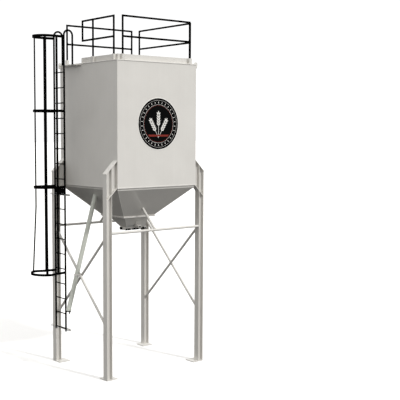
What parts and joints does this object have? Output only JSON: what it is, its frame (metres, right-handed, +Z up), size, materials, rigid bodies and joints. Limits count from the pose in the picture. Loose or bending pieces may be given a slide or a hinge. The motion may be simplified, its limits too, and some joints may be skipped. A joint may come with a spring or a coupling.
{
  "type": "elevated square hopper bin",
  "caption": "Square steel storage bin with a pyramid hopper and slide gate, on braced wide-flange legs, with a caged ladder, roof handrails, toe boards and a slanting fill pipe.",
  "frame": {"origin": "at ground level, in the middle of the whole footprint, ladder cage included; the bin's own axis is 0.360 m from it along +X", "axes": "+Z up, -Y towards the front wall with the round sign, -X towards the ladder"},
  "size_m": [3.206, 2.009, 7.0084],
  "materials": {
    "grey_paint": "blasted, primed and painted pale warm grey, satin",
    "black_paint": "black paint, satin",
    "pipe_paint": "pale grey-green paint, satin",
    "sign_paint": "screen-painted sheet, black and off-white, satin"
  },
  "bodies": {
    "root": {"front_wall": "grey_paint", "rear_wall": "grey_paint", "left_wall": "grey_paint", "right_wall": "grey_paint", "base_ring": "grey_paint", "hopper_front": "grey_paint", "hopper_right": "grey_paint", "hopper_rear": "grey_paint", "hopper_left": "grey_paint", "outlet_flange": "grey_paint", "lower_hopper": "grey_paint", "slide_gate": "black_paint", "side_chute": "grey_paint", "leg_front_left": "grey_paint", "leg_front_right": "grey_paint", "leg_rear_left": "grey_paint", "leg_rear_right": "grey_paint", "base_plate_front_left": "grey_paint", "base_plate_front_right": "grey_paint", "base_plate_rear_left": "grey_paint", "base_plate_rear_right": "grey_paint", "front_beam": "grey_paint", "rear_beam": "grey_paint", "left_brace_outer": "grey_paint", "left_brace_inner": "grey_paint", "right_brace_outer": "grey_paint", "right_brace_inner": "grey_paint", "fill_pipe": "pipe_paint", "pipe_coupling": "pipe_paint", "pipe_clamp": "grey_paint", "front_stay": "grey_paint", "rear_stay": "grey_paint", "roof_rim": "grey_paint", "roof_deck": "grey_paint", "roof_hatch": "grey_paint", "toe_board_front": "grey_paint", "toe_board_left": "grey_paint", "toe_board_right": "grey_paint", "handrail_front": "black_paint", "handrail_rear": "black_paint", "handrail_right": "black_paint", "handrail_left": "black_paint", "ladder": "black_paint", "ladder_return_far": "black_paint", "ladder_return_near": "black_paint", "landing_plate": "grey_paint", "ladder_bracket_low": "grey_paint", "ladder_bracket_high": "grey_paint", "cage_hoop_1": "black_paint", "cage_hoop_2": "black_paint", "cage_hoop_3": "black_paint", "cage_hoop_4": "black_paint", "cage_bar_far": "black_paint", "cage_bar_near": "black_paint", "cage_bar_outer_far": "black_paint", "cage_bar_outer_near": "black_paint", "round_sign": "sign_paint"}
  },
  "joints": []
}
